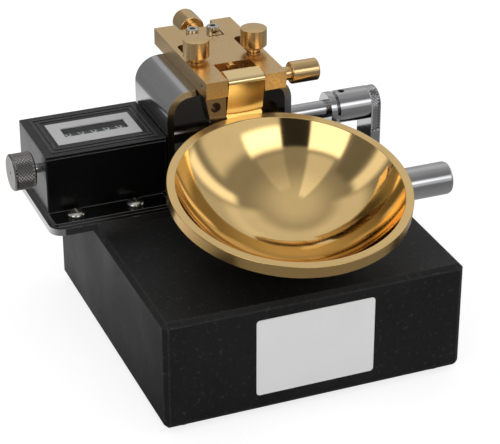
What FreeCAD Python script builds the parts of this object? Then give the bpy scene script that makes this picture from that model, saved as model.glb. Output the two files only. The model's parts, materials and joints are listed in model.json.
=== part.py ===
import FreeCAD, Part
import math
import os

# Liquid limit device with a hand crank and a revolution counter.
# Millimetres. +Z is up, +Y is towards the back, +X is to the right.
# The origin is on the bench, under the middle of the base block.

V = FreeCAD.Vector
AXIS_X = V(1, 0, 0)
AXIS_Y = V(0, 1, 0)
AXIS_Z = V(0, 0, 1)

# Clearances
running_fit = 0.05
sliding_gap = 0.10
side_gap = 0.30
rest_gap = 0.30
cut_margin = 1.0

# Base block and its feet
base_width = 130.0
base_depth = 138.0
base_height = 48.5
base_edge = 2.0
foot_height = 2.0
foot_radius = 5.0
foot_seat_depth = 3.0
foot_inset = 9.5
foot_screw_radius = 1.5
foot_screw_head_radius = 2.6
foot_screw_head_height = 1.2
foot_screw_length = 11.0
foot_recess_depth = 1.8

# Blank label on the front face
label_width = 51.3
label_height = 34.6
label_thickness = 0.4
label_corner = 1.5
label_centre_x = -0.8
label_centre_z = 26.9

# Bent sheet frame with the shelf for the counter
frame_centre_x = 0.45
frame_width = 56.7
frame_front_y = 27.2
frame_depth = 41.7
frame_sheet = 3.0
frame_bend_radius = 11.0
frame_foot_bend = 2.0
frame_foot_length = 12.5
shelf_beyond_counter = 2.1
shelf_front_y = 14.8
shelf_corner = 6.0
shelf_inner_corner = 2.7
back_plate_thickness = 3.0

# Carriage plate
plate_centre_x = 3.4
plate_width = 36.0
plate_length = 65.0
plate_thickness = 7.5
plate_front_y = 15.4
plate_top_z = 108.8
hanger_slot_width = 16.6
hanger_slot_depth = 17.6
lug_notch_width = 16.6
lug_notch_depth = 18.4
clamp_slot_front_y = 37.2
clamp_slot_back_y = 58.2
clamp_slot_width = 5.6
carriage_travel = 4.0

# Clamping screws through the plate
clamp_spacing = 26.2
clamp_y = 40.2
clamp_shank_radius = 2.4
clamp_neck_radius = 3.6
clamp_neck_height = 1.4
clamp_head_radius = 5.7
clamp_head_height = 8.2
clamp_right_lift = 1.1
clamp_head_cone = 0.5
clamp_head_edge = 0.6
clamp_shank_below = 8.0
clamp_nut_size = 8.0
clamp_nut_height = 4.0

# Lug and adjusting screw at the back of the plate
lug_depth = 11.0
lug_front_gap = 1.8
lug_top_below_plate = 0.4
lug_screw_spacing = 9.5
lug_screw_y = 67.5
lug_screw_radius = 1.5
lug_screw_head_radius = 2.75
lug_screw_head_height = 3.2
lug_screw_edge = 0.3
lug_screw_socket = 2.5
lug_screw_socket_depth = 1.8
adjust_axis_z = 105.9
adjust_screw_radius = 2.2
adjust_screw_tip = 1.4
adjust_collar_radius = 2.9
adjust_collar_width = 1.0
adjust_neck_radius = 2.8
adjust_neck_length = 5.0
adjust_knob_radius = 5.5
adjust_knob_length = 11.5
adjust_knob_edge = 0.4

# Ear under the left prong of the plate
ear_drop = 12.0
ear_thickness = 8.0
ear_setback = 1.6
ear_taper = 2.4
ear_hole_radius = 2.2
ear_hole_drop = 4.8
ear_hole_depth = 4.8
ear_screw_radius = 1.0
ear_screw_from_back = 1.7
ear_screw_grip = 2.4

# Hinge pin with its knob
pin_y = 20.8
pin_radius = 2.2
pin_tip_radius = 1.2
pin_neck_radius = 2.9
pin_tip_setback = 0.4
pin_neck_length = 3.3
pin_knob_radius = 4.8
pin_knob_length = 12.5
pin_knob_edge = 0.5

# Cup
cup_inner_radius = 54.0
cup_wall = 2.0
cup_inner_depth = 27.0
rim_width = 3.43463
rim_band_height = 5.5

# Hanger between the hinge pin and the cup, seen with the cup level
hanger_width = 16.2
hanger_front = 5.5
hanger_back = 3.9
hanger_top = 4.6
hanger_edge = 2.0
rim_below_pin = 13.0
rim_ahead_of_pin = 6.7
hanger_below_band = 1.6
hanger_seat_height = 4.6
hanger_seat_reach = 2.0
hanger_seat_below_rim = 0.4
follower_back = 7.6
follower_below_pin = 16.2
follower_radius = 3.0
follower_cheek = 1.6
follower_slot_side = 0.6
follower_slot_clear = 1.0

# Camshaft, cam and crank
shaft_y = 42.0
shaft_z = 74.8
shaft_radius = 4.0
shaft_left_reach = 4.5
cam_width = 7.0
cam_low_radius = 9.5
cam_rise_degrees = 330.0
cam_steps = 12
cam_hub_radius = 8.0
cam_hub_width = 5.0
bush_flange_radius = 7.5
bush_flange_width = 1.2
bush_wall = 2.0
arm_beyond_base = 5.9
hub_length = 14.8
hub_radius = 7.4
collar_width = 3.0
collar_gap = 1.4
set_screw_radius = 1.5
set_screw_below_top = 0.4
set_screw_from_gap = 3.0
set_screw_socket = 1.5
set_screw_socket_depth = 1.0
arm_thickness = 4.9
arm_length = 46.0
arm_edge = 2.0
grip_radius = 7.75
grip_length = 38.8
grip_edge = 1.6
grip_edge_turn = 0.5
spindle_radius = 3.0
spindle_head_radius = 4.6
spindle_head_thickness = 1.6
spindle_head_recess = 2.2

# Revolution counter
counter_width = 53.3
counter_front_y = 28.0
counter_depth = 40.0
counter_height = 26.2
counter_wall = 1.5
counter_cover = 1.5
counter_edge = 0.6
flange_corner = 1.2
flange_depth = 10.5
flange_thickness = 1.5
counter_screw_front = 5.4
counter_screw_left = 10.6
counter_screw_pitch = 26.1
counter_screw_radius = 2.0
counter_screw_head_radius = 3.8
counter_screw_head_height = 2.4
face_from_left = 8.7
face_width = 37.2
face_front_y = 37.4
face_depth = 21.1
face_thickness = 0.5
window_from_left = 13.7
window_width = 28.3
window_front_y = 44.0
window_depth = 8.8
window_thickness = 0.8
wheel_count = 5
wheel_radius = 9.0
wheel_gap = 0.4
wheel_below_window = 0.5
wheel_rim = 1.2
wheel_web = 1.6
axle_radius = 1.5
chassis_sheet = 1.0
chassis_half_depth = 7.0
chassis_above_axle = 3.0
reset_y = 37.2
reset_z = 72.4
reset_knob_reach = 12.8
reset_knob_length = 9.4
reset_knob_radius = 7.9
reset_knob_edge = 0.5
reset_knob_hole = 0.6
reset_shaft_radius = 2.0
reset_shaft_inside = 7.0
reset_gear_radius = 4.2
reset_gear_width = 2.0
dog_radius = 4.4
dog_width = 2.5
dog_finger = 2.0
dog_finger_length = 2.5
dog_opening_gap = 1.5

# Fastening screws into the base
frame_screw_radius = 2.0
frame_screw_head_radius = 3.8
frame_screw_head_height = 2.4
frame_screw_length = 12.0
frame_screw_inset = 9.0
shelf_screw_from_left = 27.5
shelf_screw_inset = 10.0

# Proportions of a pan head, as parts of its radius or of its height
pan_foot = 0.92
pan_belly_height = 0.35
pan_shoulder = 0.72
pan_shoulder_height = 0.8
pan_crown = 0.4
cross_reach = 0.5
cross_blade = 0.11
cross_floor_height = 0.45

# Places worked out from the sizes above
base_bottom = foot_height
base_top = base_bottom + base_height
base_front = -base_depth / 2
plate_left = plate_centre_x - plate_width / 2
plate_right = plate_centre_x + plate_width / 2
plate_bottom = plate_top_z - plate_thickness
plate_back_y = plate_front_y + plate_length
pin_z = plate_top_z - plate_thickness / 2
frame_left = frame_centre_x - frame_width / 2
frame_right = frame_centre_x + frame_width / 2
frame_back_y = frame_front_y + frame_depth
frame_top = plate_bottom - sliding_gap
shelf_top = base_top + frame_sheet
notch_front_y = plate_back_y - lug_notch_depth
slot_back_y = plate_front_y + hanger_slot_depth
lug_front_y = notch_front_y + lug_front_gap
lug_back_y = lug_front_y + lug_depth
counter_right_x = frame_left - side_gap
counter_left_x = counter_right_x - counter_width
shelf_left_x = counter_left_x - shelf_beyond_counter
shelf_screw_x = counter_left_x + shelf_screw_from_left
face_left_x = counter_left_x + face_from_left
window_left_x = counter_left_x + window_from_left
reset_knob_left_x = counter_left_x - reset_knob_reach
counter_top = shelf_top + counter_height
window_top = counter_top + counter_cover
wheel_pitch = window_width / wheel_count
axle_y = window_front_y + window_depth / 2
axle_z = window_top - face_thickness - window_thickness - wheel_below_window - wheel_radius
hub_right_x = base_width / 2 + arm_beyond_base
hub_start_x = hub_right_x - hub_length
collar_left_x = hub_start_x - collar_gap - collar_width
grip_left_x = hub_right_x + arm_thickness + side_gap
grip_z = shaft_z - arm_length
dog_left_x = frame_left - shaft_left_reach

# The cup hangs from the pin and tips forward until it all but rests on the base
mouth_height = cup_inner_radius - cup_inner_depth
rim_outer_radius = math.sqrt(cup_inner_radius**2 - mouth_height**2) + rim_width
sphere_ahead = rim_ahead_of_pin + rim_outer_radius
sphere_above = mouth_height - rim_below_pin
sphere_radius = cup_inner_radius + cup_wall
sphere_rest_z = base_top + rest_gap + sphere_radius
sphere_reach = math.hypot(sphere_ahead, sphere_above)
cup_tilt = math.degrees(
    math.atan2(sphere_above, sphere_ahead) - math.asin((sphere_rest_z - pin_z) / sphere_reach)
)


def box(x0, x1, y0, y1, z0, z1):
    return Part.makeBox(x1 - x0, y1 - y0, z1 - z0, V(x0, y0, z0))


def rod(x0, x1, y, z, radius):
    """A round bar along X."""
    return Part.makeCylinder(radius, x1 - x0, V(x0, y, z), AXIS_X)


def bar(x, y0, y1, z, radius):
    """A round bar along Y."""
    return Part.makeCylinder(radius, y1 - y0, V(x, y0, z), AXIS_Y)


def post(x, y, z0, z1, radius):
    """A round bar along Z."""
    return Part.makeCylinder(radius, z1 - z0, V(x, y, z0), AXIS_Z)


def turned(profile, start, axis):
    """A turned piece: (distance along the axis, radius) points, spun about the axis from start."""
    points = [V(radius, 0, along) for along, radius in profile]
    first = V(0, 0, profile[0][0])
    if profile[-1][1] > 0:
        points.append(V(0, 0, profile[-1][0]))
    wire = Part.makePolygon([first] + points + [first])
    solid = Part.Face(wire).revolve(V(0, 0, 0), AXIS_Z, 360)
    solid.Placement = FreeCAD.Placement(start, FreeCAD.Rotation(AXIS_Z, axis))
    return solid


def slot_cut(x, y0, y1, width, z0, z1):
    """A round-ended slot along Y, between the two extreme y values."""
    radius = width / 2
    middle = box(x - radius, x + radius, y0 + radius, y1 - radius, z0, z1)
    front = post(x, y0 + radius, z0, z1, radius)
    back = post(x, y1 - radius, z0, z1, radius)
    return middle.fuse([front, back]).removeSplitter()


def edges_along(shape, axis, test):
    """Straight edges parallel to the axis whose middle passes the test."""
    picked = []
    for edge in shape.Edges:
        if not isinstance(edge.Curve, Part.Line):
            continue
        along = edge.Curve.Direction
        if abs(abs(along.dot(axis)) - 1) > 1e-6:
            continue
        if test(edge.CenterOfMass):
            picked.append(edge)
    return picked


def hexagon(x, y, z0, z1, across_flats):
    radius = across_flats / math.sqrt(3)
    corners = []
    for step in range(7):
        angle = math.radians(60 * step)
        corners.append(V(x + radius * math.cos(angle), y + radius * math.sin(angle), z0))
    return Part.Face(Part.makePolygon(corners)).extrude(V(0, 0, z1 - z0))


def feet_places():
    x = base_width / 2 - foot_inset
    y = base_depth / 2 - foot_inset
    return [(-x, -y), (x, -y), (-x, y), (x, y)]


def frame_screw_places():
    x = frame_right + frame_foot_length - frame_foot_length / 2 + frame_foot_bend / 2
    return [(x, frame_front_y + frame_screw_inset), (x, frame_back_y - frame_screw_inset)]


def shelf_screw_places():
    return [
        (shelf_screw_x, frame_front_y + shelf_screw_inset),
        (shelf_screw_x, frame_back_y - shelf_screw_inset),
    ]


def counter_screw_places():
    y = counter_front_y - counter_screw_front
    x = counter_left_x + counter_screw_left
    return [(x, y), (x + counter_screw_pitch, y)]


def clamp_places():
    return [plate_centre_x - clamp_spacing / 2, plate_centre_x + clamp_spacing / 2]


def lug_screw_places():
    return [plate_centre_x - lug_screw_spacing / 2, plate_centre_x + lug_screw_spacing / 2]


def pan_screw(x, y, seat_z, head_radius, head_height, shank_radius, length):
    """A pan-head screw standing on seat_z, with a cross recess."""
    head = turned(
        [
            (0, head_radius * pan_foot),
            (head_height * pan_belly_height, head_radius),
            (head_height * pan_shoulder_height, head_radius * pan_shoulder),
            (head_height, head_radius * pan_crown),
        ],
        V(x, y, seat_z),
        AXIS_Z,
    )
    shank = post(x, y, seat_z - length, seat_z, shank_radius)
    screw = head.fuse(shank)
    half = head_radius * cross_reach
    blade = head_radius * cross_blade
    floor = seat_z + head_height * cross_floor_height
    top = seat_z + head_height + cut_margin
    screw = screw.cut(box(x - half, x + half, y - blade, y + blade, floor, top))
    return screw.cut(box(x - blade, x + blade, y - half, y + half, floor, top))


def socket_screw(x, y, seat_z, head_radius, head_height, shank_radius, length, socket, depth):
    """A cylinder-head screw with a hexagon socket."""
    head = post(x, y, seat_z, seat_z + head_height, head_radius)
    rim = [edge for edge in head.Edges if abs(edge.CenterOfMass.z - seat_z - head_height) < 1e-6]
    head = head.makeChamfer(lug_screw_edge, rim)
    shank = post(x, y, seat_z - length, seat_z, shank_radius)
    recess = hexagon(x, y, seat_z + head_height - depth, seat_z + head_height + cut_margin, socket)
    return head.fuse(shank).cut(recess)


def make_base():
    block = box(-base_width / 2, base_width / 2, base_front, -base_front, base_bottom, base_top)
    block = block.makeChamfer(base_edge, block.Edges)
    for x, y in feet_places():
        block = block.cut(post(x, y, 0, base_bottom + foot_seat_depth, foot_radius))
        depth = foot_screw_length - foot_screw_head_height
        block = block.cut(post(x, y, 0, base_bottom + depth, foot_screw_radius))
    for x, y in frame_screw_places() + shelf_screw_places():
        block = block.cut(post(x, y, shelf_top - frame_screw_length, base_top, frame_screw_radius))
    return block


def make_feet():
    feet = []
    for x, y in feet_places():
        foot = post(x, y, 0, base_bottom + foot_seat_depth, foot_radius)
        foot = foot.cut(post(x, y, 0, base_bottom + foot_seat_depth, foot_screw_radius))
        feet.append(foot.cut(post(x, y, 0, foot_recess_depth, foot_screw_head_radius)))
    return Part.makeCompound(feet)


def make_foot_screws():
    screws = []
    seat = foot_recess_depth
    for x, y in feet_places():
        head = post(x, y, seat - foot_screw_head_height, seat, foot_screw_head_radius)
        shank = post(x, y, seat, foot_screw_length, foot_screw_radius)
        screws.append(head.fuse(shank))
    return Part.makeCompound(screws)


def make_label():
    x0 = label_centre_x - label_width / 2
    z0 = label_centre_z - label_height / 2
    label = box(x0, x0 + label_width, base_front - label_thickness, base_front, z0, z0 + label_height)
    return label.makeFillet(label_corner, edges_along(label, AXIS_Y, lambda point: True))


def frame_outline(offset):
    """The inverted U in the XZ plane, moved inwards by the offset."""
    x0 = frame_left + offset
    x1 = frame_right - offset
    z1 = frame_top - offset
    solid = box(x0, x1, frame_front_y, frame_back_y, base_top, z1)
    upper = edges_along(solid, AXIS_Y, lambda point: point.z > z1 - 1e-6)
    return solid.makeFillet(frame_bend_radius - offset, upper)


def make_frame():
    frame = frame_outline(0).cut(frame_outline(frame_sheet))
    foot = box(
        frame_right - frame_sheet,
        frame_right + frame_foot_length,
        frame_front_y,
        frame_back_y,
        base_top,
        shelf_top,
    )
    shelf = box(
        shelf_left_x, frame_left + frame_sheet, shelf_front_y, frame_back_y, base_top, shelf_top
    )
    corners = edges_along(shelf, AXIS_Z, lambda point: point.x < shelf_left_x + 1e-6)
    shelf = shelf.makeFillet(shelf_corner, corners)
    inner = edges_along(shelf, AXIS_Z, lambda point: point.x > frame_left and point.y < frame_front_y)
    shelf = shelf.makeFillet(shelf_inner_corner, inner)
    frame = frame.fuse([foot, shelf]).removeSplitter()
    bends = edges_along(
        frame,
        AXIS_Y,
        lambda point: abs(point.z - shelf_top) < 1e-6
        and (abs(point.x - frame_left) < 1e-6 or abs(point.x - frame_right) < 1e-6),
    )
    frame = frame.makeFillet(frame_foot_bend, bends)
    bush_hole = shaft_radius + running_fit + bush_wall
    frame = frame.cut(rod(frame_left, frame_right, shaft_y, shaft_z, bush_hole))
    for x in clamp_places():
        hole = clamp_shank_radius + running_fit
        bottom = frame_top - frame_sheet - clamp_nut_height
        frame = frame.cut(post(x, clamp_y, bottom, frame_top, hole))
    for x in lug_screw_places():
        frame = frame.cut(
            post(x, lug_screw_y, frame_top - frame_sheet, frame_top, lug_screw_radius)
        )
    for x, y in frame_screw_places() + shelf_screw_places():
        frame = frame.cut(post(x, y, base_top, shelf_top, frame_screw_radius))
    for x, y in shelf_screw_places():
        frame = frame.cut(countersink(x, y))
    for x, y in counter_screw_places():
        frame = frame.cut(post(x, y, base_top, shelf_top, counter_screw_radius))
    return frame


def countersink(x, y):
    """The cone of a countersunk head, flush with the top of the shelf."""
    drop = frame_screw_head_radius - frame_screw_radius
    return Part.makeCone(
        frame_screw_radius, frame_screw_head_radius, drop, V(x, y, shelf_top - drop), AXIS_Z
    )


def make_back_plate():
    plate = frame_outline(frame_sheet)
    front = frame_back_y - back_plate_thickness
    return plate.common(box(frame_left, frame_right, front, frame_back_y, base_top, frame_top))


def make_frame_screws():
    screws = []
    for x, y in frame_screw_places():
        screws.append(
            pan_screw(
                x,
                y,
                shelf_top,
                frame_screw_head_radius,
                frame_screw_head_height,
                frame_screw_radius,
                frame_screw_length,
            )
        )
    return Part.makeCompound(screws)


def make_shelf_screws():
    screws = []
    for x, y in shelf_screw_places():
        shank = post(x, y, shelf_top - frame_screw_length, shelf_top, frame_screw_radius)
        screws.append(shank.fuse(countersink(x, y)))
    return Part.makeCompound(screws)


def make_bush(inner_x, outward):
    """A flanged bush pressed into one leg; its flange lies against the inner face of the leg."""
    bore = shaft_radius + running_fit
    outer_x = inner_x + outward * frame_sheet
    flange_x = inner_x - outward * bush_flange_width
    sleeve = rod(min(inner_x, outer_x), max(inner_x, outer_x), shaft_y, shaft_z, bore + bush_wall)
    flange = rod(
        min(inner_x, flange_x), max(inner_x, flange_x), shaft_y, shaft_z, bush_flange_radius
    )
    hole = rod(min(flange_x, outer_x), max(flange_x, outer_x), shaft_y, shaft_z, bore)
    return sleeve.fuse(flange).removeSplitter().cut(hole)


def make_clamp_nuts():
    nuts = []
    top = frame_top - frame_sheet
    for x in clamp_places():
        nut = hexagon(x, clamp_y, top - clamp_nut_height, top, clamp_nut_size)
        hole = clamp_shank_radius + running_fit
        nut = nut.common(frame_outline(frame_sheet))
        nuts.append(nut.cut(post(x, clamp_y, top - clamp_nut_height, top, hole)))
    return Part.makeCompound(nuts)


def make_clamp_screw(x, lift):
    seat = plate_top_z + sliding_gap + lift
    neck = clamp_neck_height
    head = neck + clamp_head_height
    return turned(
        [
            (frame_top - frame_sheet - clamp_nut_height - seat, clamp_shank_radius),
            (0, clamp_shank_radius),
            (0, clamp_neck_radius),
            (neck, clamp_neck_radius),
            (neck, clamp_head_radius - clamp_head_edge),
            (neck + clamp_head_edge, clamp_head_radius),
            (head, clamp_head_radius),
            (head + clamp_head_cone, 0),
        ],
        V(x, clamp_y, seat),
        AXIS_Z,
    )


def make_plate():
    plate = box(plate_left, plate_right, plate_front_y, plate_back_y, plate_bottom, plate_top_z)
    half = hanger_slot_width / 2
    plate = plate.cut(
        box(
            plate_centre_x - half,
            plate_centre_x + half,
            plate_front_y,
            slot_back_y,
            plate_bottom,
            plate_top_z,
        )
    )
    half = lug_notch_width / 2
    plate = plate.cut(
        box(
            plate_centre_x - half,
            plate_centre_x + half,
            notch_front_y,
            plate_back_y,
            plate_bottom,
            plate_top_z,
        )
    )
    for x in clamp_places():
        plate = plate.cut(
            slot_cut(
                x, clamp_slot_front_y, clamp_slot_back_y, clamp_slot_width, plate_bottom, plate_top_z
            )
        )
    plate = plate.cut(rod(plate_centre_x, plate_right, pin_y, pin_z, pin_radius + running_fit))
    plate = plate.cut(rod(plate_left, plate_centre_x, pin_y, pin_z, pin_tip_radius + running_fit))
    bore = adjust_screw_radius + running_fit
    plate = plate.cut(bar(plate_centre_x, slot_back_y, notch_front_y, adjust_axis_z, bore))
    x, y = ear_screw_place()
    return plate.cut(post(x, y, plate_bottom, plate_bottom + ear_screw_grip, ear_screw_radius))


def ear_sides():
    return plate_left, plate_centre_x - hanger_slot_width / 2 - side_gap


def ear_screw_place():
    x0, x1 = ear_sides()
    return (x0 + x1) / 2, plate_front_y + ear_setback + ear_thickness - ear_screw_from_back


def make_ear():
    """A tapered block under the left prong, with a blind hole in its front."""
    x0, x1 = ear_sides()
    front = plate_front_y + ear_setback
    z1 = plate_bottom
    z0 = z1 - ear_drop
    corners = [(x0, z1), (x1, z1), (x1, z0), (x0 + ear_taper, z0), (x0, z1)]
    outline = Part.makePolygon([V(x, front, z) for x, z in corners])
    ear = Part.Face(outline).extrude(V(0, ear_thickness, 0))
    hole_z = z1 - ear_hole_drop
    ear = ear.cut(bar((x0 + x1) / 2, front, front + ear_hole_depth, hole_z, ear_hole_radius))
    x, y = ear_screw_place()
    return ear.cut(post(x, y, z0, z1, ear_screw_radius))


def make_ear_screw():
    """A headless screw that holds the ear up against the plate."""
    x, y = ear_screw_place()
    return post(x, y, plate_bottom - ear_drop, plate_bottom + ear_screw_grip, ear_screw_radius)


def make_lug():
    half = lug_notch_width / 2 - side_gap
    top = plate_top_z - lug_top_below_plate
    lug = box(
        plate_centre_x - half, plate_centre_x + half, lug_front_y, lug_back_y, frame_top, top
    )
    lug = lug.cut(
        bar(plate_centre_x, lug_front_y, lug_back_y, adjust_axis_z, adjust_screw_radius + running_fit)
    )
    for x in lug_screw_places():
        lug = lug.cut(post(x, lug_screw_y, frame_top, top, lug_screw_radius))
    return lug


def make_lug_screws():
    screws = []
    seat = plate_top_z - lug_top_below_plate
    for x in lug_screw_places():
        screws.append(
            socket_screw(
                x,
                lug_screw_y,
                seat,
                lug_screw_head_radius,
                lug_screw_head_height,
                lug_screw_radius,
                seat - frame_top + frame_sheet,
                lug_screw_socket,
                lug_screw_socket_depth,
            )
        )
    return Part.makeCompound(screws)


def make_adjusting_screw():
    """Threads right through the plate; its collar and the knob's neck hold it in the lug."""
    tip = slot_back_y - adjust_screw_tip
    end = lug_back_y + side_gap + adjust_neck_length + adjust_knob_length / 2
    screw = bar(plate_centre_x, tip, end, adjust_axis_z, adjust_screw_radius)
    collar_back = lug_front_y - side_gap
    collar = bar(
        plate_centre_x,
        collar_back - adjust_collar_width,
        collar_back,
        adjust_axis_z,
        adjust_collar_radius,
    )
    return screw.fuse(collar)


def make_adjusting_knob():
    start = lug_back_y + side_gap
    neck = adjust_neck_length
    end = neck + adjust_knob_length
    knob = turned(
        [
            (0, adjust_neck_radius),
            (neck, adjust_neck_radius),
            (neck, adjust_knob_radius - adjust_knob_edge),
            (neck + adjust_knob_edge, adjust_knob_radius),
            (end - adjust_knob_edge, adjust_knob_radius),
            (end, adjust_knob_radius - adjust_knob_edge),
        ],
        V(plate_centre_x, start, adjust_axis_z),
        AXIS_Y,
    )
    bore_end = start + neck + adjust_knob_length / 2
    return knob.cut(bar(plate_centre_x, start, bore_end, adjust_axis_z, adjust_screw_radius))


def make_hinge_pin():
    step_x = plate_centre_x - hanger_slot_width / 2
    end_x = plate_right + pin_neck_length + pin_knob_length / 2
    pin = rod(step_x, end_x, pin_y, pin_z, pin_radius)
    tip = rod(plate_left + pin_tip_setback, step_x, pin_y, pin_z, pin_tip_radius)
    return pin.fuse(tip)


def make_pin_knob():
    neck = pin_neck_length
    end = neck + pin_knob_length
    start = plate_right + side_gap
    knob = turned(
        [
            (0, pin_neck_radius),
            (neck, pin_neck_radius),
            (neck, pin_knob_radius - pin_knob_edge),
            (neck + pin_knob_edge, pin_knob_radius),
            (end - pin_knob_edge, pin_knob_radius),
            (end, pin_knob_radius - pin_knob_edge),
        ],
        V(start, pin_y, pin_z),
        AXIS_X,
    )
    bore_end = plate_right + pin_neck_length + pin_knob_length / 2
    return knob.cut(rod(start, bore_end, pin_y, pin_z, pin_radius))


def tip_cup(shape):
    """Turn a shape that was made with the cup level down to its place at rest."""
    shape.rotate(V(0, pin_y, pin_z), AXIS_X, cup_tilt)
    return shape


def level_rim():
    """The centre of the rim plane with the cup level."""
    return V(plate_centre_x, pin_y - sphere_ahead, pin_z - rim_below_pin)


def band_cylinder(radius, below, above):
    centre = level_rim()
    return post(centre.x, centre.y, centre.z - below, centre.z + above, radius)


def bowl_ball(radius):
    """The part of a ball below the rim plane, about the centre of the bowl's curve, cup level."""
    ball = Part.makeSphere(radius, level_rim() + AXIS_Z * mouth_height)
    return ball.common(band_cylinder(radius, radius, 0))


def make_cup():
    cup = bowl_ball(sphere_radius).fuse(band_cylinder(rim_outer_radius, rim_band_height, 0))
    return tip_cup(cup.cut(bowl_ball(cup_inner_radius)))


def make_hanger():
    """Turns on the hinge pin; its front is brazed to the band and its tail holds the follower."""
    x0 = plate_centre_x - hanger_width / 2
    x1 = plate_centre_x + hanger_width / 2
    front = pin_y - hanger_front
    low = pin_z - rim_below_pin - rim_band_height - hanger_below_band
    top = pin_z + hanger_top
    body = box(x0, x1, front, pin_y + hanger_back, low, top)
    body = body.makeFillet(hanger_edge, edges_along(body, AXIS_X, lambda point: point.z > top - 1e-6))
    seat_top = pin_z - rim_below_pin - hanger_seat_below_rim
    seat = box(x0, x1, front - hanger_seat_reach, front, seat_top - hanger_seat_height, seat_top)
    follower_y = pin_y + follower_back
    follower_z = pin_z - follower_below_pin
    lobe = follower_radius + follower_cheek
    tail = rod(x0, x1, follower_y, follower_z, lobe)
    web = box(x0, x1, pin_y, follower_y, follower_z - lobe, follower_z + lobe)
    hanger = body.fuse([seat, tail, web]).removeSplitter()
    hanger = hanger.cut(band_cylinder(rim_outer_radius, rim_band_height * 2, rim_band_height))
    hanger = hanger.cut(bowl_ball(sphere_radius))
    hanger = hanger.cut(rod(x0, x1, pin_y, pin_z, pin_radius + running_fit))
    hanger = tip_cup(hanger.cut(rod(x0, x1, follower_y, follower_z, follower_radius)))
    half = cam_width / 2 + follower_slot_side
    pocket_radius = cam_top_radius() + follower_slot_clear
    pocket = rod(plate_centre_x - half, plate_centre_x + half, shaft_y, shaft_z, pocket_radius)
    return hanger.cut(pocket)


def make_follower():
    x0 = plate_centre_x - hanger_width / 2
    x1 = plate_centre_x + hanger_width / 2
    pin = rod(x0, x1, pin_y + follower_back, pin_z - follower_below_pin, follower_radius)
    return tip_cup(pin)


def follower_centre():
    tilt = math.radians(cup_tilt)
    y = pin_y + follower_back * math.cos(tilt) + follower_below_pin * math.sin(tilt)
    z = pin_z + follower_back * math.sin(tilt) - follower_below_pin * math.cos(tilt)
    return y, z


def cam_top_radius():
    """The largest cam radius that still clears the follower with the cup down."""
    y, z = follower_centre()
    return math.hypot(y - shaft_y, z - shaft_z) - follower_radius - rest_gap


def cam_point(fraction):
    angle = math.radians(cam_rise_degrees * fraction)
    radius = cam_low_radius + (cam_top_radius() - cam_low_radius) * fraction
    y = shaft_y + radius * math.cos(angle)
    return V(plate_centre_x - cam_width / 2, y, shaft_z + radius * math.sin(angle))


def make_cam():
    """A spiral cam that lifts slowly over most of a turn and then lets the cup drop."""
    points = [cam_point(step / cam_steps) for step in range(cam_steps + 1)]
    spiral = Part.BSplineCurve()
    spiral.interpolate(points)
    drop = Part.LineSegment(points[-1], points[0]).toShape()
    face = Part.Face(Part.Wire([spiral.toShape(), drop]))
    cam = face.extrude(V(cam_width, 0, 0))
    right = plate_centre_x + cam_width / 2
    cam = cam.fuse(rod(right, right + cam_hub_width, shaft_y, shaft_z, cam_hub_radius))
    cam = cam.cut(post(cam_screw_x(), shaft_y, shaft_z, shaft_z + cam_hub_radius, set_screw_radius))
    return cam.cut(rod(right - cam_width, right + cam_hub_width, shaft_y, shaft_z, shaft_radius))


def cam_screw_x():
    return plate_centre_x + cam_width / 2 + cam_hub_width / 2


def make_cam_set_screw():
    top = shaft_z + cam_hub_radius - set_screw_below_top
    return post(cam_screw_x(), shaft_y, shaft_z + shaft_radius, top, set_screw_radius)


def make_shaft():
    return rod(dog_left_x, hub_right_x, shaft_y, shaft_z, shaft_radius)


def make_drive_dog():
    """The disc on the end of the camshaft that turns the counter."""
    x1 = dog_left_x
    dog = rod(x1 - dog_width, x1, shaft_y, shaft_z, dog_radius)
    half = dog_finger / 2
    top = shaft_z + dog_radius - half
    x1 -= dog_width
    x0 = x1 - dog_finger_length
    return dog.fuse(box(x0, x1, shaft_y - half, shaft_y + half, shaft_z, top))


def make_collar():
    right = collar_left_x + collar_width
    collar = rod(collar_left_x, right, shaft_y, shaft_z, hub_radius)
    return collar.cut(rod(collar_left_x, right, shaft_y, shaft_z, shaft_radius))


def hub_screw_x():
    return hub_start_x + set_screw_from_gap


def make_hub():
    hub = rod(hub_start_x, hub_right_x, shaft_y, shaft_z, hub_radius)
    hub = hub.cut(rod(hub_start_x, hub_right_x, shaft_y, shaft_z, shaft_radius))
    return hub.cut(post(hub_screw_x(), shaft_y, shaft_z, shaft_z + hub_radius, set_screw_radius))


def make_hub_screw():
    top = shaft_z + hub_radius - set_screw_below_top
    screw = post(hub_screw_x(), shaft_y, shaft_z + shaft_radius, top, set_screw_radius)
    floor = top - set_screw_socket_depth
    return screw.cut(hexagon(hub_screw_x(), shaft_y, floor, top, set_screw_socket))


def make_arm():
    x0 = hub_right_x
    x1 = x0 + arm_thickness
    upper = rod(x0, x1, shaft_y, shaft_z, hub_radius)
    lower = rod(x0, x1, shaft_y, grip_z, hub_radius)
    bar_part = box(x0, x1, shaft_y - hub_radius, shaft_y + hub_radius, grip_z, shaft_z)
    arm = upper.fuse([lower, bar_part]).removeSplitter()
    rims = [edge for edge in arm.Edges if abs(edge.CenterOfMass.x - x1) < 1e-6]
    arm = arm.makeFillet(arm_edge, rims)
    return arm.cut(rod(x0, x1, shaft_y, grip_z, spindle_radius))


def make_spindle():
    end = grip_left_x + grip_length - spindle_head_recess + spindle_head_thickness
    stem = rod(hub_right_x, end - spindle_head_thickness, shaft_y, grip_z, spindle_radius)
    head = rod(end - spindle_head_thickness, end, shaft_y, grip_z, spindle_head_radius)
    return stem.fuse(head)


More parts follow.
